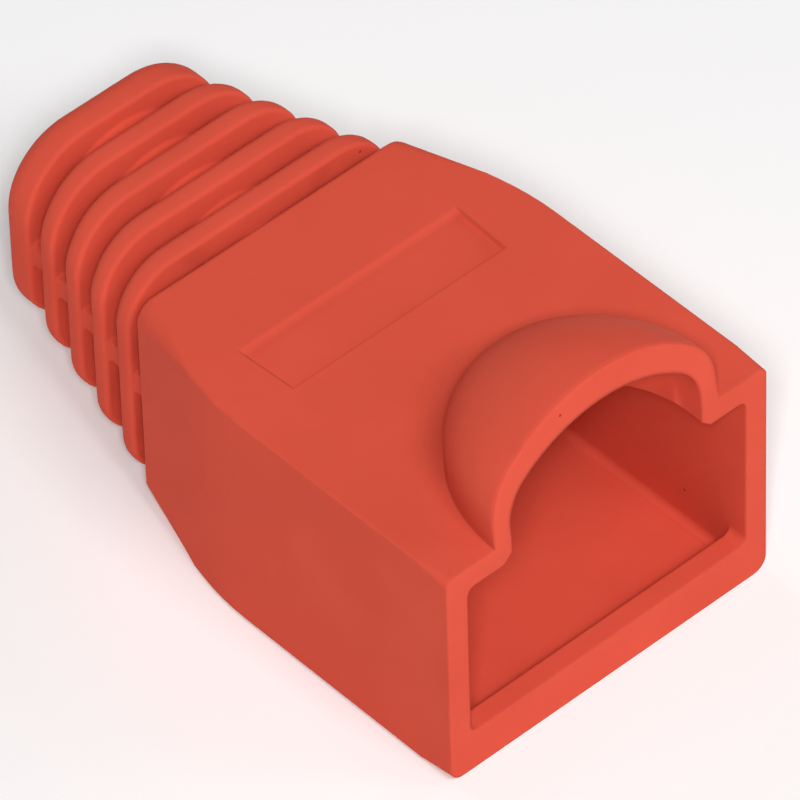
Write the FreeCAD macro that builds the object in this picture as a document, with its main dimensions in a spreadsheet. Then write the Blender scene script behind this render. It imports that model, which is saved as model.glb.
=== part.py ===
# Slip-on strain relief boot for an eight-way modular plug, moulded in one piece of soft plastic.
# Frame: +Z up (the hood side), +X across, +Y along the cable, towards the end where it leaves.
# The plug mouth is drawn at y = 0, and the finished boot is then moved so that its origin is
# the middle of its base.
import FreeCAD, Part
import math
import os
import Sketcher

SIZES = {
    # housing that grips the plug
    "mouth_width": 13.97,
    "body_height": 9.27,
    "housing_length": 16.07,
    "side_bend": 11.1,
    "side_taper": 0.227,
    "side_bend_radius": 11.0,
    "top_edge_chamfer": 0.07,
    "bottom_edge_chamfer": 0.16,
    "soft_edge_gap": 0.45,
    "rear_top_radius": 0.75,
    "rear_bottom_radius": 1.3,
    "rear_bottom_rise": 0.13,
    # ribbed neck round the cable
    "cable_height": 5.1,
    "cable_bore_radius": 2.6,
    "neck_top_rise": 0.17,
    "neck_bottom_rise": 0.24,
    "end_wall_side": 1.34,
    "end_wall_above": 1.4,
    "end_wall_below": 0.47,
    "rib_count": 5,
    "rib_pitch": 1.688,
    "first_groove_width": 0.58,
    "groove_width": 0.79,
    "end_rib_length": 1.47,
    "neck_front_radius": 2.05,
    "neck_end_radius": 2.97,
    "rib_bottom_radius": 1.9,
    "rib_back_round": 0.54,
    "end_rib_round": 0.86,
    "core_front_wall": 1.45,
    "core_back_wall": 0.9,
    "web_thickness": 0.95,
    "web_inset": 0.03,
    # hood over the plug's latch
    "hood_half_width": 4.87,
    "hood_rise": 4.4,
    "hood_length": 5.56,
    "hood_straight": 0.9,
    "hood_shoulder": 2.6,
    "hood_lean": 0.09,
    "hood_side_wall": 0.72,
    "hood_top_wall": 1.25,
    "hollow_straight": 0.5,
    "hollow_shoulder": 1.9,
    "hollow_run": 0.75,
    "hollow_flare": 0.35,
    # pocket for the plug
    "side_wall": 0.9,
    "top_wall": 0.95,
    "floor_wall": 0.6,
    "pocket_depth": 11.0,
    "pocket_corner_radius": 0.35,
    "lip_height": 1.69,
    "lip_length": 0.78,
    "throat_radius": 3.3,
    "throat_length": 3.0,
    # bare panel sunk in the top
    "panel_front": 9.72,
    "panel_length": 2.53,
    "panel_width": 9.27,
    "panel_flare": 0.145,
    "panel_depth": 0.2,
    "panel_slope": 0.3,
}
# How far a piece runs into its neighbour, and how far a cutting block runs past the boot.
OVERLAP = 0.5
REACH = 20.0

doc = FreeCAD.newDocument("strain_relief_boot")
sheet = doc.addObject("Spreadsheet::Sheet", "sizes")
for row, (alias, value) in enumerate(SIZES.items(), start=1):
    sheet.set(f"A{row}", alias)
    sheet.set(f"B{row}", str(value))
    sheet.setAlias(f"B{row}", alias)
doc.recompute()


def now(expression):
    """What an expression comes to with the sizes as they stand."""
    return float(sheet.evalExpression(expression))


def new_body(name):
    body = doc.addObject("PartDesign::Body", name)
    body.Label = name
    return body


def new_sketch(body, name, role, offset="0"):
    """A sketch on one of the body's own planes, moved along that plane's normal."""
    sketch = body.newObject("Sketcher::SketchObject", name)
    plane = next(item for item in body.Origin.OriginFeatures if item.Role == role)
    sketch.AttachmentSupport = [(plane, "")]
    sketch.MapMode = "FlatFace"
    sketch.setExpression(".AttachmentOffset.Base.z", offset)
    doc.recompute()
    return sketch


def line(sketch, start, end):
    first = FreeCAD.Vector(start[0], start[1], 0)
    last = FreeCAD.Vector(end[0], end[1], 0)
    return sketch.addGeometry(Part.LineSegment(first, last), False)


def arc(sketch, centre, radius, start_angle, end_angle):
    circle = Part.Circle(FreeCAD.Vector(centre[0], centre[1], 0), FreeCAD.Vector(0, 0, 1), radius)
    return sketch.addGeometry(Part.ArcOfCircle(circle, start_angle, end_angle), False)


def rule(sketch, kind, *places):
    """One geometric constraint."""
    sketch.addConstraint(Sketcher.Constraint(kind, *places))


def join(sketch, kind, pairs):
    """Joins the end of one piece of an outline to the start of the next."""
    for before, after in pairs:
        rule(sketch, kind, before, 2, after, 1)


def dimension(sketch, kind, places, expression):
    """One driving dimension, tied to the sheet."""
    index = sketch.addConstraint(Sketcher.Constraint(kind, *places, now(expression)))
    sketch.setExpression(f"Constraints[{index}]", expression)


def polygon_sketch(body, name, role, offset, corners):
    """A closed outline of straight lines, with each corner given as two expressions."""
    sketch = new_sketch(body, name, role, offset)
    values = [(now(across), now(along)) for across, along in corners]
    count = len(corners)
    for index in range(count):
        line(sketch, values[index], values[(index + 1) % count])
    join(sketch, "Coincident", [(index, (index + 1) % count) for index in range(count)])
    for index, (across, along) in enumerate(corners):
        dimension(sketch, "DistanceX", (-1, 1, index, 1), across)
        dimension(sketch, "DistanceY", (-1, 1, index, 1), along)
    doc.recompute()
    return sketch


def cross_section(body, name, y, half_width, bottom, top, bottom_radius, top_radius):
    """A rounded rectangle square to the cable, at a given place along it."""
    sketch = new_sketch(body, name, "XZ_Plane", f"-({y})")
    half, low, high = now(half_width), now(bottom), now(top)
    lower, upper = now(bottom_radius), now(top_radius)
    line(sketch, (lower - half, low), (half - lower, low))
    arc(sketch, (half - lower, low + lower), lower, -math.pi / 2, 0)
    line(sketch, (half, low + lower), (half, high - upper))
    arc(sketch, (half - upper, high - upper), upper, 0, math.pi / 2)
    line(sketch, (half - upper, high), (upper - half, high))
    arc(sketch, (upper - half, high - upper), upper, math.pi / 2, math.pi)
    line(sketch, (-half, high - upper), (-half, low + lower))
    arc(sketch, (lower - half, low + lower), lower, math.pi, 3 * math.pi / 2)
    join(sketch, "Tangent", [(index, (index + 1) % 8) for index in range(8)])
    for side in (0, 4):
        rule(sketch, "Horizontal", side)
    for side in (2, 6):
        rule(sketch, "Vertical", side)
    rule(sketch, "Equal", 1, 7)
    rule(sketch, "Equal", 3, 5)
    dimension(sketch, "Radius", (1,), bottom_radius)
    dimension(sketch, "Radius", (3,), top_radius)
    dimension(sketch, "DistanceX", (-1, 1, 2, 1), half_width)
    dimension(sketch, "DistanceX", (-1, 1, 6, 1), f"-({half_width})")
    dimension(sketch, "DistanceY", (-1, 1, 0, 1), bottom)
    dimension(sketch, "DistanceY", (-1, 1, 4, 1), top)
    doc.recompute()
    return sketch


def pad(body, name, sketch, length, midplane=False, backwards=False):
    feature = body.newObject("PartDesign::Pad", name)
    feature.Profile = sketch
    feature.Midplane = midplane
    feature.Reversed = backwards
    feature.setExpression("Length", length)
    doc.recompute()
    return feature


def ease(body, kind, name, base, size, wanted):
    """A fillet or chamfer on the edges whose bounding boxes pass a test."""
    edges = [f"Edge{index}" for index, edge in enumerate(base.Shape.Edges, start=1) if wanted(edge.BoundBox)]
    feature = body.newObject(f"PartDesign::{kind}", name)
    feature.Base = (base, edges)
    feature.setExpression("Radius" if kind == "Fillet" else "Size", size)
    doc.recompute()
    return feature


def along_cable(kind, name, start, length, **radii):
    """A cylinder or cone on the cable's axis."""
    solid = doc.addObject(kind, name)
    solid.Label = name
    solid.Placement = FreeCAD.Placement(FreeCAD.Vector(), FreeCAD.Rotation(FreeCAD.Vector(1, 0, 0), -90))
    solid.setExpression("Placement.Base.y", start)
    solid.setExpression("Placement.Base.z", "sizes.cable_height")
    solid.setExpression("Height", length)
    for property_name, expression in radii.items():
        solid.setExpression(property_name, expression)
    doc.recompute()
    return solid


# Housing: a block with parallel sides that bend in towards the neck. Its long edges are crisp
# at the mouth and swell into soft corners behind the bend.
TAPER_COSINE = "cos(atan(sizes.side_taper))"
SOFT_START = "(sizes.side_bend + sizes.side_bend_radius * sizes.side_taper / 2 + sizes.soft_edge_gap)"
SOFT_HALF_WIDTH = f"(sizes.mouth_width / 2 - sizes.side_taper * ({SOFT_START} - sizes.side_bend))"
REAR_HALF_WIDTH = "(sizes.mouth_width / 2 - sizes.side_taper * (sizes.housing_length - sizes.side_bend))"


def housing_plan(body):
    """The housing's outline from above, from the mouth to where its edges start to soften."""
    sketch = new_sketch(body, "housing_plan", "XY_Plane")
    half = now("sizes.mouth_width / 2")
    rear = now(SOFT_HALF_WIDTH)
    length = now(SOFT_START)
    radius = now("sizes.side_bend_radius")
    turn = math.atan(now("sizes.side_taper"))
    bend_start = now("sizes.side_bend") - radius * math.tan(turn / 2)
    bend_end = (half - radius + radius * math.cos(turn), bend_start + radius * math.sin(turn))
    line(sketch, (-half, 0), (half, 0))
    line(sketch, (half, 0), (half, bend_start))
    arc(sketch, (half - radius, bend_start), radius, 0, turn)
    line(sketch, bend_end, (rear, length))
    line(sketch, (rear, length), (-rear, length))
    line(sketch, (-rear, length), (-bend_end[0], bend_end[1]))
    arc(sketch, (radius - half, bend_start), radius, math.pi - turn, math.pi)
    line(sketch, (-half, bend_start), (-half, 0))
    join(sketch, "Coincident", [(0, 1), (3, 4), (4, 5), (7, 0)])
    join(sketch, "Tangent", [(1, 2), (2, 3), (5, 6), (6, 7)])
    rule(sketch, "Horizontal", 0)
    rule(sketch, "Vertical", 1)
    rule(sketch, "Vertical", 7)
    rule(sketch, "Symmetric", 3, 2, 5, 1, -2)
    rule(sketch, "Symmetric", 0, 1, 0, 2, -1, 1)
    rule(sketch, "Equal", 2, 6)
    rule(sketch, "Equal", 3, 5)
    dimension(sketch, "DistanceX", (0, 1, 0, 2), "sizes.mouth_width")
    dimension(sketch, "DistanceX", (-1, 1, 3, 2), SOFT_HALF_WIDTH)
    dimension(sketch, "DistanceY", (-1, 1, 3, 2), SOFT_START)
    dimension(sketch, "Radius", (2,), "sizes.side_bend_radius")
    dimension(sketch, "Angle", (3,), "90 deg + atan(sizes.side_taper)")
    doc.recompute()
    return sketch


def make_housing():
    body = new_body("housing")
    middle = now("sizes.body_height / 2")
    block = pad(body, "housing_pad", housing_plan(body), "sizes.body_height")
    eased = ease(body, "Chamfer", "top_edges", block, "sizes.top_edge_chamfer",
                 lambda box: box.YLength > 0.1 and box.ZLength < 0.01 and box.ZMin > middle)
    ease(body, "Chamfer", "bottom_edges", eased, "sizes.bottom_edge_chamfer",
         lambda box: box.YLength > 0.1 and box.ZLength < 0.01 and box.ZMax < middle / 2)
    rear = body.newObject("PartDesign::AdditiveLoft", "soft_rear")
    low_in = f"({SOFT_HALF_WIDTH} - sizes.bottom_edge_chamfer / {TAPER_COSINE})"
    high_in = f"({SOFT_HALF_WIDTH} - sizes.top_edge_chamfer / {TAPER_COSINE})"
    low, high = "sizes.bottom_edge_chamfer", "sizes.body_height - sizes.top_edge_chamfer"
    rear.Profile = polygon_sketch(body, "soft_start_section", "XZ_Plane", f"-({SOFT_START})", [
        (f"-{low_in}", "0"), (low_in, "0"),
        (SOFT_HALF_WIDTH, low), (SOFT_HALF_WIDTH, high),
        (high_in, "sizes.body_height"), (f"-{high_in}", "sizes.body_height"),
        (f"-{SOFT_HALF_WIDTH}", high), (f"-{SOFT_HALF_WIDTH}", low),
    ])
    rear.Sections = [cross_section(body, "rear_section", "sizes.housing_length", REAR_HALF_WIDTH,
                                   "sizes.rear_bottom_rise", "sizes.body_height",
                                   "sizes.rear_bottom_radius", "sizes.rear_top_radius")]
    rear.Ruled = True
    doc.recompute()
    return body


# Neck: a plain conical tube that carries rounded square ribs, with a narrow web along each
# side that ties the ribs together and leaves the neck free to bend up and down.
END_RIB_FRONT = "(sizes.first_groove_width + (sizes.rib_count - 1) * sizes.rib_pitch)"
NECK_LENGTH = f"({END_RIB_FRONT} + sizes.end_rib_length)"
NECK_END = f"(sizes.housing_length + {NECK_LENGTH})"


def blend(front, end, distance):
    """A size that runs evenly from the housing to the neck's end."""
    return f"(({front}) + (({end}) - ({front})) * ({distance}) / {NECK_LENGTH})"


def neck_half_width(distance):
    return blend(REAR_HALF_WIDTH, "sizes.cable_bore_radius + sizes.end_wall_side", distance)


def neck_bottom(distance):
    return blend("sizes.neck_bottom_rise",
                 "sizes.cable_height - sizes.cable_bore_radius - sizes.end_wall_below", distance)


def neck_top(distance):
    return blend("sizes.body_height + sizes.neck_top_rise",
                 "sizes.cable_height + sizes.cable_bore_radius + sizes.end_wall_above", distance)


def make_rib(number, last):
    """One rib, counted from the housing. The last one is longer and rounder at its free end."""
    distance = f"(sizes.first_groove_width + {number} * sizes.rib_pitch)"
    front = f"(sizes.housing_length + {distance})"
    length = "sizes.end_rib_length" if last else "(sizes.rib_pitch - sizes.groove_width)"
    back = f"({front} + {length})"
    body = new_body(f"rib_{number + 1}")
    section = cross_section(body, f"rib_section_{number + 1}", front, neck_half_width(distance),
                            neck_bottom(distance), neck_top(distance), "sizes.rib_bottom_radius",
                            blend("sizes.neck_front_radius", "sizes.neck_end_radius", distance))
    rib = pad(body, f"rib_pad_{number + 1}", section, length, backwards=True)
    back_y = now(back)
    ease(body, "Fillet", f"rib_round_{number + 1}", rib,
         "sizes.end_rib_round" if last else "sizes.rib_back_round",
         lambda box: abs(box.YMin - back_y) < 1e-3 and abs(box.YMax - back_y) < 1e-3)
    return body


def make_side_web():
    start = f"(-{OVERLAP})"
    end = f"({END_RIB_FRONT} + {OVERLAP})"
    half_start = f"({neck_half_width(start)} - sizes.web_inset)"
    half_end = f"({neck_half_width(end)} - sizes.web_inset)"
    body = new_body("side_web")
    sketch = polygon_sketch(body, "web_plan", "XY_Plane", "sizes.cable_height", [
        (f"-{half_start}", f"sizes.housing_length + {start}"),
        (half_start, f"sizes.housing_length + {start}"),
        (half_end, f"sizes.housing_length + {end}"),
        (f"-{half_end}", f"sizes.housing_length + {end}"),
    ])
    pad(body, "web_pad", sketch, "sizes.web_thickness", midplane=True)
    return body


def make_neck_core():
    start = f"(sizes.housing_length - {OVERLAP})"
    return along_cable("Part::Cone", "neck_core", start, f"{END_RIB_FRONT} + {2 * OVERLAP}",
                       Radius1="sizes.cable_bore_radius + sizes.core_front_wall",
                       Radius2="sizes.cable_bore_radius + sizes.core_back_wall")


# Hood: a round-backed arch over the plug's latch, open to the front. Its outside is a turned
# form, stretched along the cable.
def full_turn(body, name, sketch):
    """Turns a profile about its upright axis."""
    turned = body.newObject("PartDesign::Revolution", name)
    turned.Profile = sketch
    turned.ReferenceAxis = (sketch, ["V_Axis"])
    turned.Angle = 360
    doc.recompute()


def arch(sketch, first, half_width, straight_top, top, shoulder):
    """Half of a basket arch, from its foot on the right up to the axis: a straight, a shoulder
    arc and a crown arc, numbered from first."""
    half, straight, peak, radius = now(half_width), now(straight_top), now(top), now(shoulder)
    inset = half - radius
    rise = peak - straight
    crown = (inset ** 2 + rise ** 2 - radius ** 2) / (2 * (rise - radius))
    turn = math.atan2(straight - (peak - crown), inset)
    arc(sketch, (inset, straight), radius, 0, turn)
    arc(sketch, (0, peak - crown), crown, turn, math.pi / 2)
    join(sketch, "Tangent", [(first, first + 1), (first + 1, first + 2)])
    rule(sketch, "Vertical", first)
    rule(sketch, "PointOnObject", first + 2, 2, -2)
    rule(sketch, "PointOnObject", first + 2, 3, -2)
    dimension(sketch, "DistanceX", (-1, 1, first, 2), half_width)
    dimension(sketch, "DistanceY", (-1, 1, first, 2), straight_top)
    dimension(sketch, "DistanceY", (-1, 1, first + 2, 2), top)
    dimension(sketch, "Radius", (first + 1,), shoulder)


def make_hood():
    body = new_body("hood_block")
    sketch = new_sketch(body, "hood_profile", "XZ_Plane")
    foot = f"(sizes.body_height - {OVERLAP})"
    straight_top = "(sizes.body_height + sizes.hood_straight)"
    peak = "(sizes.body_height + sizes.hood_rise)"
    half = now("sizes.hood_half_width")
    line(sketch, (0, now(foot)), (half, now(foot)))
    line(sketch, (half, now(foot)), (half, now(straight_top)))
    arch(sketch, 1, "sizes.hood_half_width", straight_top, peak, "sizes.hood_shoulder")
    line(sketch, (0, now(peak)), (0, now(foot)))
    join(sketch, "Coincident", [(0, 1), (3, 4), (4, 0)])
    rule(sketch, "Horizontal", 0)
    rule(sketch, "PointOnObject", 0, 1, -2)
    dimension(sketch, "DistanceY", (-1, 1, 0, 1), foot)
    doc.recompute()
    full_turn(body, "hood_turn", sketch)
    matrix = FreeCAD.Matrix()
    matrix.A22 = now("sizes.hood_length / sizes.hood_half_width")
    dome = doc.addObject("Part::Feature", "hood_dome")
    dome.Shape = body.Shape.transformGeometry(matrix)
    front = new_body("hood_front_block")
    outline = polygon_sketch(front, "hood_front_outline", "YZ_Plane", "0", [
        (f"-{REACH}", f"sizes.body_height - {2 * OVERLAP}"),
        ("0", f"sizes.body_height - {2 * OVERLAP}"),
        ("0", "sizes.body_height"),
        (f"sizes.hood_lean * {REACH}", f"sizes.body_height + {REACH}"),
        (f"-{REACH}", f"sizes.body_height + {REACH}"),
    ])
    pad(front, "hood_front_pad", outline, f"{2 * REACH}", midplane=True)
    hood = doc.addObject("Part::Cut", "hood")
    hood.Base = dome
    hood.Tool = front
    doc.recompute()
    return hood


# Inside: a pocket for the plug with a lip across the bottom of its mouth, the hollow of the
# hood, and a wider throat that leads to the cable's bore.
CEILING = "(sizes.body_height - sizes.top_wall)"
HOLLOW_HALF_WIDTH = "(sizes.hood_half_width - sizes.hood_side_wall)"


def make_pocket():
    body = new_body("plug_pocket")
    ahead = f"-{REACH}"
    sketch = polygon_sketch(body, "pocket_side_view", "YZ_Plane", "0", [
        (ahead, "sizes.lip_height"),
        ("sizes.lip_length", "sizes.lip_height"),
        ("sizes.lip_length", "sizes.floor_wall"),
        ("sizes.pocket_depth", "sizes.floor_wall"),
        ("sizes.pocket_depth", CEILING),
        (ahead, CEILING),
    ])
    block = pad(body, "pocket_pad", sketch, "sizes.mouth_width - 2 * sizes.side_wall", midplane=True)
    ease(body, "Fillet", "pocket_corners", block, "sizes.pocket_corner_radius",
         lambda box: box.YLength > 0.1 and box.XLength < 0.1)
    return body


def make_hollow():
    """The hood's hollow: straight from the mouth and turned at the back, with a sloped foot."""
    body = new_body("hood_hollow")
    sketch = new_sketch(body, "hollow_profile", "XZ_Plane", "-sizes.hollow_run")
    foot = f"({CEILING} - {OVERLAP})"
    straight_top = "(sizes.body_height + sizes.hollow_straight)"
    peak = "(sizes.body_height + sizes.hood_rise - sizes.hood_top_wall)"
    half, flare, ceiling = now(HOLLOW_HALF_WIDTH), now("sizes.hollow_flare"), now(CEILING)
    line(sketch, (0, now(foot)), (half + flare, now(foot)))
    line(sketch, (half + flare, now(foot)), (half + flare, ceiling))
    line(sketch, (half + flare, ceiling), (half, ceiling + flare))
    line(sketch, (half, ceiling + flare), (half, now(straight_top)))
    arch(sketch, 3, HOLLOW_HALF_WIDTH, straight_top, peak, "sizes.hollow_shoulder")
    line(sketch, (0, now(peak)), (0, now(foot)))
    join(sketch, "Coincident", [(0, 1), (1, 2), (2, 3), (5, 6), (6, 0)])
    rule(sketch, "Horizontal", 0)
    rule(sketch, "Vertical", 1)
    rule(sketch, "PointOnObject", 0, 1, -2)
    dimension(sketch, "DistanceY", (-1, 1, 0, 1), foot)
    dimension(sketch, "DistanceY", (-1, 1, 1, 2), CEILING)
    dimension(sketch, "DistanceX", (3, 1, 1, 2), "sizes.hollow_flare")
    dimension(sketch, "DistanceY", (1, 2, 3, 1), "sizes.hollow_flare")
    doc.recompute()
    full_turn(body, "hollow_turn", sketch)
    run = pad(body, "hollow_run", sketch, f"{REACH}")
    mirrored = body.newObject("PartDesign::Mirrored", "hollow_other_half")
    mirrored.Originals = [run]
    mirrored.MirrorPlane = (sketch, ["V_Axis"])
    body.Tip = mirrored
    doc.recompute()
    return body


def make_throat():
    return along_cable("Part::Cylinder", "throat", f"(sizes.pocket_depth - {OVERLAP})",
                       f"sizes.throat_length + {OVERLAP}", Radius="sizes.throat_radius")


def make_bore():
    start = f"(sizes.pocket_depth + sizes.throat_length - {OVERLAP})"
    return along_cable("Part::Cylinder", "cable_bore", start, f"{NECK_END} - {start} + {OVERLAP}",
                       Radius="sizes.cable_bore_radius")


# Panel: a shallow bare field in the top, a little wider at the back, with a sloped back wall.
def make_panel():
    body = new_body("top_panel")
    floor = "(sizes.body_height - sizes.panel_depth)"
    back = "(sizes.panel_front + sizes.panel_length)"
    side = polygon_sketch(body, "panel_side_view", "YZ_Plane", "0", [
        ("sizes.panel_front", floor),
        (f"{back} - sizes.panel_slope", floor),
        (f"{back} + sizes.panel_slope * {OVERLAP} / sizes.panel_depth", f"sizes.body_height + {OVERLAP}"),
        ("sizes.panel_front", f"sizes.body_height + {OVERLAP}"),
    ])
    pad(body, "panel_pad", side, "sizes.panel_width + 2 * sizes.panel_flare", midplane=True)
    for name, sign in (("right", ""), ("left", "-")):
        corner = polygon_sketch(body, f"panel_{name}_trim", "XY_Plane", f"{floor} - {OVERLAP}", [
            (f"{sign}(sizes.panel_width / 2)", "sizes.panel_front"),
            (f"{sign}(sizes.panel_width / 2 + sizes.panel_flare)", back),
            (f"{sign}(sizes.panel_width / 2 + sizes.panel_flare + {OVERLAP})", back),
            (f"{sign}(sizes.panel_width / 2 + sizes.panel_flare + {OVERLAP})", "sizes.panel_front"),
        ])
        trim = body.newObject("PartDesign::Pocket", f"panel_{name}_cut")
        trim.Profile = corner
        trim.Type = "ThroughAll"
        trim.Reversed = True
        doc.recompute()
    return body


def combine(name, pieces):
    joined = doc.addObject("Part::MultiFuse", name)
    joined.Shapes = pieces
    doc.recompute()
    return joined


def make_boot():
    count = int(now("sizes.rib_count"))
    ribs = [make_rib(number, number == count - 1) for number in range(count)]
    outside = combine("outside", [make_housing(), make_neck_core(), make_side_web(), make_hood()] + ribs)
    inside = combine("inside", [make_pocket(), make_hollow(), make_throat(), make_bore(), make_panel()])
    boot = doc.addObject("Part::Cut", "boot")
    boot.Label = "boot"
    boot.Base = outside
    boot.Tool = inside
    boot.Refine = True
    boot.setExpression("Placement.Base.y", f"-{NECK_END} / 2")
    doc.recompute()
    return boot


def check(item):
    """Stops on a failed object or a broken shape, before anything is written."""
    for entry in doc.Objects:
        if "Invalid" in entry.State or "Error" in entry.State:
            raise RuntimeError(f"{entry.Name} failed: {entry.State}")
    if item.Shape.isNull() or not item.Shape.isValid():
        raise RuntimeError(f"{item.Label} has no sound shape")
    if len(item.Shape.Solids) != 1:
        raise RuntimeError(f"{item.Label} has {len(item.Shape.Solids)} solids")


part = make_boot()
check(part)
os.makedirs("parts", exist_ok=True)
part.Shape.exportStep(os.path.join("parts", part.Label + ".step"))
box = part.Shape.optimalBoundingBox(True, False)
print(f"{part.Label}: {box.XLength:.2f} x {box.YLength:.2f} x {box.ZLength:.2f} mm, "
      f"{part.Shape.Volume:.1f} mm3, {len(part.Shape.Faces)} faces")
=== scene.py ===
import math

import bmesh
import bpy
from mathutils import Matrix, Vector


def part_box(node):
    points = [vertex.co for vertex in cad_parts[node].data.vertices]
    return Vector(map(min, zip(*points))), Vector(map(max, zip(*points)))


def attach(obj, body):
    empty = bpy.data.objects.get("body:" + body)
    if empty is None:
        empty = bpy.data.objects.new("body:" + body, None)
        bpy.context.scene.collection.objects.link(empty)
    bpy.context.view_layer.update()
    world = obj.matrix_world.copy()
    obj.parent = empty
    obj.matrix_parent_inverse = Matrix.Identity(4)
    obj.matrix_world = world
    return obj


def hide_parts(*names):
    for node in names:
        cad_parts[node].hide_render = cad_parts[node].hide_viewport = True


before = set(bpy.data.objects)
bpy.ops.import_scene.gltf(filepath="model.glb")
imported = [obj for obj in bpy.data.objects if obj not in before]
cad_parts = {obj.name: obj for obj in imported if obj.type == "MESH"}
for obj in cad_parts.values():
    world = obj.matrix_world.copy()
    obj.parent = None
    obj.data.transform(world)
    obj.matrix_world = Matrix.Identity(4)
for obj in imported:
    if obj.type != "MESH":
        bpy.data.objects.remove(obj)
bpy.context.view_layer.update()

# Housing and hood: the front of the boot, which slips over the back of a modular plug and its
# latch. It is soft PVC shot in one mould with the neck, so its corners are blunt and its long
# top edges are only just broken.
MM = 0.001
HALF_WIDTH = 6.985
HOUSING_LENGTH = 16.07
CABLE_HEIGHT = 5.1
BORE = 2.6
CORNER_REACH = 1.3
boot_low, boot_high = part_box("boot")
mouth_y = boot_low[1]
housing_rear = mouth_y + HOUSING_LENGTH * MM

bpy.ops.object.select_all(action="DESELECT")
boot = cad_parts["boot"].copy()
boot.data = boot.data.copy()
boot.name = "boot_moulding"
boot.data.name = "boot_moulding"
bpy.context.scene.collection.objects.link(boot)
bpy.context.view_layer.objects.active = boot
boot.select_set(True)
bpy.ops.object.mode_set(mode="EDIT")
bpy.ops.mesh.select_all(action="SELECT")
bpy.ops.mesh.remove_doubles(threshold=0.0005 * MM)

# the solid's own neck is cut off, and the disc that the cut puts across the bore is taken out
bpy.ops.mesh.bisect(plane_co=(0.0, housing_rear - 0.002 * MM, 0.0), plane_no=(0.0, 1.0, 0.0),
                    use_fill=True, clear_outer=True, clear_inner=False)
shape = bmesh.from_edit_mesh(boot.data)
discs = [face for face in shape.faces
         if all(abs(vertex.co.y - housing_rear) < 0.01 * MM
                and math.hypot(vertex.co.x, vertex.co.z - CABLE_HEIGHT * MM) < (BORE + 0.02) * MM
                for vertex in face.verts)]
bmesh.ops.delete(shape, geom=discs, context="FACES_ONLY")
bmesh.update_edit_mesh(boot.data)

# large flat faces, with one cut behind the mouth where the rounding of its corners ends
bpy.ops.mesh.select_all(action="SELECT")
bpy.ops.mesh.dissolve_limited(angle_limit=math.radians(0.5))
bpy.ops.mesh.select_all(action="SELECT")
bpy.ops.mesh.bisect(plane_co=(0.0, mouth_y + CORNER_REACH * MM, 0.0), plane_no=(0.0, 1.0, 0.0))


def round_edges(wanted, radius, segments, lengthwise=False):
    """Rounds the sharp edges that pass a test on their two ends, or only those that run along
    the cable."""
    shape = bmesh.from_edit_mesh(boot.data)
    bpy.ops.mesh.select_all(action="DESELECT")
    for edge in shape.edges:
        if len(edge.link_faces) == 2 and edge.calc_face_angle() > math.radians(25):
            run = abs(edge.verts[0].co.y - edge.verts[1].co.y)
            edge.select_set(all(wanted(vertex.co) for vertex in edge.verts)
                            and (run > 0.1 * MM or not lengthwise))
    bmesh.update_edit_mesh(boot.data)
    bpy.ops.mesh.bevel(offset=radius * MM, offset_type="OFFSET", segments=segments, affect="EDGES")


round_edges(lambda place: abs(place.y - housing_rear) < 0.01 * MM
            and math.hypot(place.x, place.z - CABLE_HEIGHT * MM) > (BORE + 0.4) * MM,
            radius=0.2, segments=3)


def blunt_corners(radius, height, offset):
    """Rounds the housing's long edges at one height: by the offset behind the mouth, and by the
    radius in the mouth's own plane."""
    outermost = (HALF_WIDTH - 0.285) * MM
    round_edges(lambda place: place.y < mouth_y + (CORNER_REACH + 0.01) * MM
                and abs(place.x) > outermost and abs(place.z - height * MM) < 0.3 * MM,
                radius=offset, segments=3, lengthwise=True)
    shape = bmesh.from_edit_mesh(boot.data)
    outward = -1 if height < CABLE_HEIGHT else 1
    middle = (height - outward * radius) * MM
    for side in (-1, 1):
        corner = [vertex for vertex in shape.verts
                  if vertex.co.x * side > outermost and vertex.co.y < mouth_y + 0.001 * MM
                  and abs(vertex.co.z - height * MM) < 0.35 * MM]
        corner.sort(key=lambda vertex: math.atan2(abs(vertex.co.x) - (HALF_WIDTH - radius) * MM,
                                                  abs(vertex.co.z - middle)))
        for number, vertex in enumerate(corner):
            angle = math.radians(90 * number / (len(corner) - 1))
            vertex.co.x = side * (HALF_WIDTH - radius + radius * math.sin(angle)) * MM
            vertex.co.z = middle + outward * radius * math.cos(angle) * MM
    bmesh.update_edit_mesh(boot.data)


blunt_corners(radius=0.55, height=0.0, offset=0.08)
blunt_corners(radius=0.32, height=9.27, offset=0.04)
bpy.ops.object.mode_set(mode="OBJECT")


# Ribbed neck: five soft square ribs on a round core, tied together by a web along each side.
# The mould leaves their front edges crisp, rounds their backs and fillets the grooves between.
NECK_FRONT = HOUSING_LENGTH
NECK_END = 24.872
NECK_ROOT = 0.5
FIRST_GROOVE = 0.58
RIB_PITCH = 1.688
RIB_LENGTH = 0.898
END_RIB_LENGTH = 1.47
RIB_ROUND = 0.54
RIB_TOP_ROUND = 0.32
END_ROUND = 0.86
FRONT_ROUND = 0.16
GROOVE_FILLET = 0.14
CORE_RADIUS = 3.33
WEB_HALF = 0.4
WEB_FADE = 0.5
WEB_DEPTH = 0.03

# the neck's square section at its front and at its end: half its width, the height of its
# underside and of its top, and the radius of its upper corners
FRONT_SECTION = (5.857, 0.24, 9.44, 2.05)
END_SECTION = (3.94, 2.03, 9.1, 2.97)
LOWER_CORNER = 1.9
LEAST_CORNER = 0.3


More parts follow.
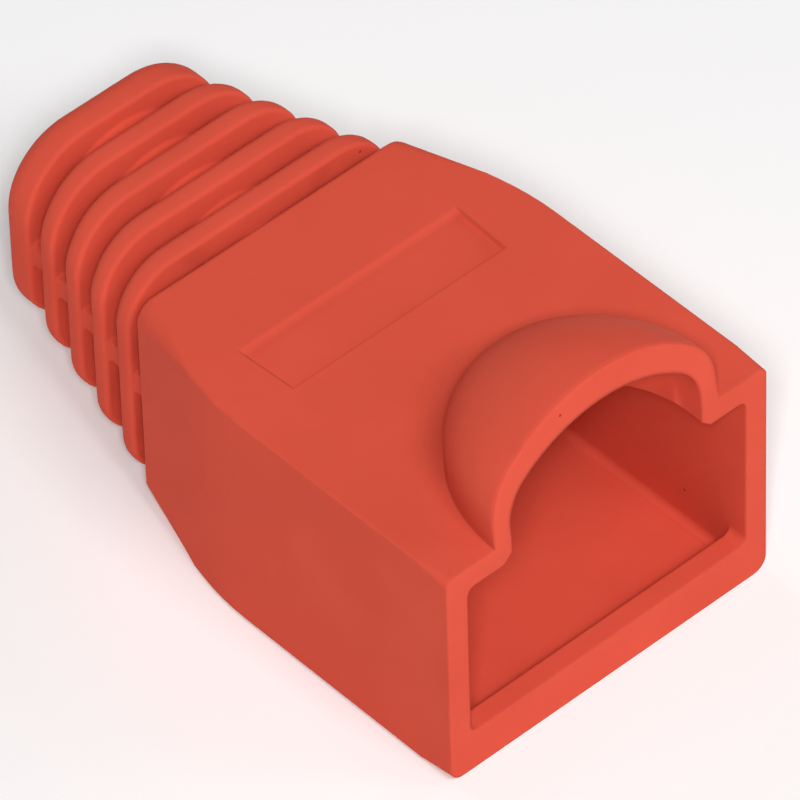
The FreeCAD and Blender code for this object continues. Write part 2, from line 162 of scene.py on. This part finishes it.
def neck_outline(y, inset):
    """The neck's rounded square section at a place along the cable, drawn from the middle of
    its underside round to the middle of its top, on the right-hand side."""
    run = (y - NECK_FRONT) / (NECK_END - NECK_FRONT)
    half, low, high, upper = (front + (end - front) * run
                              for front, end in zip(FRONT_SECTION, END_SECTION))
    half, low, high = half - inset, low + inset, high - inset
    lower = max(LOWER_CORNER - inset, LEAST_CORNER)
    upper = max(upper - inset, LEAST_CORNER)
    points = [((half - lower) * step / 6, low) for step in range(6)]
    for step in range(13):
        angle = math.radians(-90 + 90 * step / 12)
        points.append((half - lower + lower * math.cos(angle),
                       low + lower + lower * math.sin(angle)))
    side_low, side_high = low + lower, high - upper
    web_low, web_high = CABLE_HEIGHT - 0.95, CABLE_HEIGHT + 0.95
    heights = [side_low + (web_low - side_low) * step / 4 for step in (1, 2, 3)]
    heights += [CABLE_HEIGHT + offset for offset in (-0.95, -0.8, -0.68, -0.58, -0.5, -0.44, -0.2,
                                                     0.0, 0.2, 0.44, 0.5, 0.58, 0.68, 0.8, 0.95)]
    heights += [web_high + (side_high - web_high) * step / 4 for step in (1, 2, 3)]
    points += [(half, height) for height in heights]
    for step in range(17):
        angle = math.radians(90 * step / 16)
        points.append((half - upper + upper * math.cos(angle),
                       high - upper + upper * math.sin(angle)))
    points += [((half - upper) * (7 - step) / 8, high) for step in range(8)]
    return points


def groove_floor(outline):
    """Where the groove's floor lies behind each point of an outline: on the round core, but out
    at the face of the web where the web fills the groove."""
    floor = []
    for across, height in outline:
        reach = math.hypot(across, height - CABLE_HEIGHT)
        depth = max(0.0, reach - CORE_RADIUS)
        beyond = abs(height - CABLE_HEIGHT) - WEB_HALF
        if across > 3.0 and beyond < WEB_FADE:
            fade = max(0.0, beyond) / WEB_FADE
            depth = WEB_DEPTH + (depth - WEB_DEPTH) * fade ** 2 * (3.0 - 2.0 * fade)
        scale = (reach - depth) / reach
        floor.append((across * scale, CABLE_HEIGHT + (height - CABLE_HEIGHT) * scale))
    return floor


def between(near, far, height):
    """Points that stand a given height off the groove's floor, on the way to the rib's face."""
    points = []
    for (across, up), (out, top) in zip(near, far):
        depth = math.hypot(out - across, top - up)
        share = min(1.0, height / depth) if depth > 1e-6 else 1.0
        points.append((across + (out - across) * share, up + (top - up) * share))
    return points


def neck_rings():
    """Every section of the neck's skin, from inside the housing to its rounded end."""
    start = NECK_FRONT - NECK_ROOT
    outline = neck_outline(start, 0.05)
    rings = [(start, groove_floor(outline))]
    groove_start = NECK_FRONT - 0.3
    for number in range(5):
        last = number == 4
        front = NECK_FRONT + FIRST_GROOVE + number * RIB_PITCH
        back = front + (END_RIB_LENGTH if last else RIB_LENGTH)

        # the groove in front of the rib, and the fillet that rises from it to the rib's face
        face = neck_outline(front, FRONT_ROUND)
        floor = groove_floor(face)
        rings.append((groove_start, floor))
        rings.append((front - GROOVE_FILLET, floor))
        for step in range(1, 5):
            angle = math.radians(90 * step / 4)
            height = GROOVE_FILLET * (1 - math.cos(angle))
            place = front - GROOVE_FILLET + GROOVE_FILLET * math.sin(angle)
            rings.append((place, between(floor, face, height)))

        # the crisp front edge, and the rounded back edge, which is tighter along the top
        for step in range(4):
            angle = math.radians(90 * step / 3)
            rings.append((front + FRONT_ROUND * (1 - math.cos(angle)),
                          neck_outline(front, FRONT_ROUND * (1 - math.sin(angle)))))
        size, top_size = (END_ROUND, END_ROUND) if last else (RIB_ROUND, RIB_TOP_ROUND)
        steps = 10 if last else 7
        for step in range(steps):
            angle = math.radians(90 * step / (steps - 1))
            side = neck_outline(front, size * (1 - math.cos(angle)))
            top = neck_outline(front, top_size * (1 - math.cos(angle)))
            places, shoulder = [], []
            for index, (wide, flat) in enumerate(zip(side, top)):
                share = min(1.0, max(0.0, (len(side) - 8 - index) / 12))
                places.append(back - (top_size + (size - top_size) * share) * (1 - math.sin(angle)))
                shoulder.append(tuple(b + (a - b) * share for a, b in zip(wide, flat)))
            rings.append((places, shoulder))

        # the fillet that runs down into the next groove
        if not last:
            floor = groove_floor(shoulder)
            for step in range(4):
                angle = math.radians(90 * step / 4)
                rings.append((back + GROOVE_FILLET * (1 - math.cos(angle)),
                              between(floor, shoulder, GROOVE_FILLET * (1 - math.sin(angle)))))
            groove_start = back + GROOVE_FILLET
    return rings


# the skin: its sections in a row, mirrored to the left, and back through the cable's bore
neck_mesh = bpy.data.meshes.new("neck")
skin = bmesh.new()
loops = []
for places, section in neck_rings():
    if isinstance(places, float):
        places = [places] * len(section)
    right = [(across, y, height) for y, (across, height) in zip(places, section)]
    left = [(-across, y, height) for across, y, height in reversed(right[1:-1])]
    loops.append([skin.verts.new((across * MM, mouth_y + y * MM, height * MM))
                  for across, y, height in right + left])
count = len(loops[0])
for radius, y in ((BORE + 0.1, NECK_END), (BORE + 0.03, NECK_END - 0.03), (BORE, NECK_END - 0.1),
                  (BORE, NECK_FRONT + 0.2), (BORE + 0.1, NECK_FRONT - NECK_ROOT)):
    ring = []
    for vertex in loops[0]:
        across, height = vertex.co.x / MM, vertex.co.z / MM - CABLE_HEIGHT
        scale = radius / math.hypot(across, height)
        ring.append(skin.verts.new((across * scale * MM, mouth_y + y * MM,
                                    (CABLE_HEIGHT + height * scale) * MM)))
    loops.append(ring)
for before, after in zip(loops, loops[1:] + loops[:1]):
    for index in range(count):
        beyond = (index + 1) % count
        skin.faces.new((before[index], before[beyond], after[beyond], after[index]))
bmesh.ops.remove_doubles(skin, verts=skin.verts, dist=0.0005 * MM)
bmesh.ops.recalc_face_normals(skin, faces=skin.faces)
skin.to_mesh(neck_mesh)
skin.free()
neck = bpy.data.objects.new("neck", neck_mesh)
bpy.context.scene.collection.objects.link(neck)
bpy.ops.object.select_all(action="DESELECT")
neck.select_set(True)
boot.select_set(True)
bpy.context.view_layer.objects.active = boot
bpy.ops.object.join()
bpy.ops.object.shade_smooth_by_angle(angle=math.radians(32))
weighting = boot.modifiers.new("flat faces stay flat", "WEIGHTED_NORMAL")
weighting.keep_sharp = True
bpy.ops.object.modifier_apply(modifier=weighting.name)


def soft_pvc():
    """Soft red PVC with an almost matt face: a faint mould grain and a few fine specks."""
    material = bpy.data.materials.new("soft_pvc")
    material.use_nodes = True
    nodes, links = material.node_tree.nodes, material.node_tree.links
    shader = nodes["Principled BSDF"]
    shader.inputs["Specular IOR Level"].default_value = 0.01
    place = nodes.new("ShaderNodeTexCoord")

    # colour: slow cloudiness of the pigment, and a few fine dark specks in it
    cloud = nodes.new("ShaderNodeTexNoise")
    cloud.inputs["Scale"].default_value = 300.0
    cloud.inputs["Detail"].default_value = 3.0
    links.new(place.outputs["Object"], cloud.inputs["Vector"])
    pigment = nodes.new("ShaderNodeValToRGB")
    pigment.color_ramp.elements[0].position = 0.3
    pigment.color_ramp.elements[0].color = (0.64, 0.081, 0.048, 1.0)
    pigment.color_ramp.elements[1].position = 0.7
    pigment.color_ramp.elements[1].color = (0.68, 0.089, 0.053, 1.0)
    links.new(cloud.outputs["Fac"], pigment.inputs["Fac"])
    cells = nodes.new("ShaderNodeTexVoronoi")
    cells.inputs["Scale"].default_value = 620.0
    links.new(place.outputs["Object"], cells.inputs["Vector"])
    speck = nodes.new("ShaderNodeMapRange")
    speck.inputs["From Min"].default_value = 0.02
    speck.inputs["From Max"].default_value = 0.045
    speck.inputs["To Min"].default_value = 1.0
    speck.inputs["To Max"].default_value = 0.0
    links.new(cells.outputs["Distance"], speck.inputs["Value"])
    chance = nodes.new("ShaderNodeSeparateColor")
    links.new(cells.outputs["Color"], chance.inputs["Color"])
    few = nodes.new("ShaderNodeMath")
    few.operation = "GREATER_THAN"
    few.inputs[1].default_value = 0.72
    links.new(chance.outputs["Red"], few.inputs[0])
    seen = nodes.new("ShaderNodeMath")
    seen.operation = "MULTIPLY"
    links.new(speck.outputs["Result"], seen.inputs[0])
    links.new(few.outputs["Value"], seen.inputs[1])
    specked = nodes.new("ShaderNodeMix")
    specked.data_type = "RGBA"
    specked.inputs["B"].default_value = (0.30, 0.03, 0.016, 1.0)
    links.new(seen.outputs["Value"], specked.inputs["Factor"])
    links.new(pigment.outputs["Color"], specked.inputs["A"])
    links.new(specked.outputs["Result"], shader.inputs["Base Color"])

    # face: almost matt, with a grain as fine as that of the spark-eroded mould
    grain = nodes.new("ShaderNodeTexNoise")
    grain.inputs["Scale"].default_value = 9000.0
    grain.inputs["Detail"].default_value = 4.0
    grain.inputs["Roughness"].default_value = 0.6
    links.new(place.outputs["Object"], grain.inputs["Vector"])
    roughness = nodes.new("ShaderNodeMapRange")
    roughness.inputs["To Min"].default_value = 0.42
    roughness.inputs["To Max"].default_value = 0.58
    links.new(grain.outputs["Fac"], roughness.inputs["Value"])
    links.new(roughness.outputs["Result"], shader.inputs["Roughness"])

    # edges: softened a little, and most of all on the hood
    softened = nodes.new("ShaderNodeBevel")
    softened.samples = 8
    along = nodes.new("ShaderNodeSeparateXYZ")
    links.new(place.outputs["Object"], along.inputs["Vector"])
    rim = nodes.new("ShaderNodeMapRange")
    rim.inputs["From Min"].default_value = boot_low[2] + 9.1 * MM
    rim.inputs["From Max"].default_value = boot_low[2] + 10.4 * MM
    rim.inputs["To Min"].default_value = 0.13 * MM
    rim.inputs["To Max"].default_value = 0.3 * MM
    links.new(along.outputs["Z"], rim.inputs["Value"])
    links.new(rim.outputs["Result"], softened.inputs["Radius"])
    relief = nodes.new("ShaderNodeBump")
    relief.inputs["Strength"].default_value = 0.25
    relief.inputs["Distance"].default_value = 0.01 * MM
    links.new(grain.outputs["Fac"], relief.inputs["Height"])
    links.new(softened.outputs["Normal"], relief.inputs["Normal"])
    links.new(relief.outputs["Normal"], shader.inputs["Normal"])
    return material


boot.data.materials.clear()
boot.data.materials.append(soft_pvc())
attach(boot, "root")
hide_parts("boot")

# The table: a wide flat sheet of matt white card under the boot.
bpy.ops.mesh.primitive_plane_add(size=2.0, location=(0.0, 0.0, boot_low[2]))
floor = bpy.context.object
floor.name = "white_card"
card = bpy.data.materials.new("white_card")
card.use_nodes = True
card_face = card.node_tree.nodes["Principled BSDF"]
card_face.inputs["Base Color"].default_value = (0.97, 0.97, 0.97, 1.0)
card_face.inputs["Roughness"].default_value = 0.9
floor.data.materials.append(card)

# The light: a dim white tent, a small lamp at the camera, and wide soft boxes above the camera,
# to the right of the boot and behind it.
world = bpy.data.worlds.new("studio")
world.use_nodes = True
tent = world.node_tree.nodes["Background"]
tent.inputs["Color"].default_value = (1.0, 1.0, 1.0, 1.0)
tent.inputs["Strength"].default_value = 0.083
bpy.context.scene.world = world


def soft_box(name, direction, power, size=0.14):
    """A square light panel 350 mm from the boot, on the side given, that faces it."""
    away = Vector(direction).normalized()
    bpy.ops.object.light_add(type="AREA", location=away * 0.35)
    panel = bpy.context.object
    panel.name = name
    panel.data.shape = "SQUARE"
    panel.data.size = size
    panel.data.energy = power
    panel.rotation_euler = away.to_track_quat("Z", "Y").to_euler()


soft_box("at_camera", (-0.463, -0.53, 0.711), 0.71, 0.05)
soft_box("over_camera", (-0.1, -0.6, 0.79), 0.47)
soft_box("right_of_mouth", (0.6, -0.7, 0.4), 0.14)
soft_box("right", (0.94, 0.0, 0.34), 0.22)
soft_box("behind", (0.0, 0.94, 0.34), 0.33)

bpy.context.scene.view_settings.view_transform = "Standard"

# The camera: a long lens, 45 degrees above the table and 41 degrees round to the left.
AZIMUTH = math.radians(41.17)
ELEVATION = math.radians(45.31)
ROLL = math.radians(1.83)
AIM = Vector((-2.300, -5.177, 8.908)) * MM
DISTANCE = 335.67 * MM
turn = (Matrix.Rotation(-AZIMUTH, 4, "Z") @ Matrix.Rotation(math.pi / 2 - ELEVATION, 4, "X")
        @ Matrix.Rotation(-ROLL, 4, "Z"))
bpy.ops.object.camera_add()
camera = bpy.context.object
camera.matrix_world = Matrix.Translation(AIM) @ turn @ Matrix.Translation((0.0, 0.0, DISTANCE))
camera.data.sensor_width = 36.0
camera.data.lens = 471.7
camera.data.clip_start = 0.01
bpy.context.scene.camera = camera
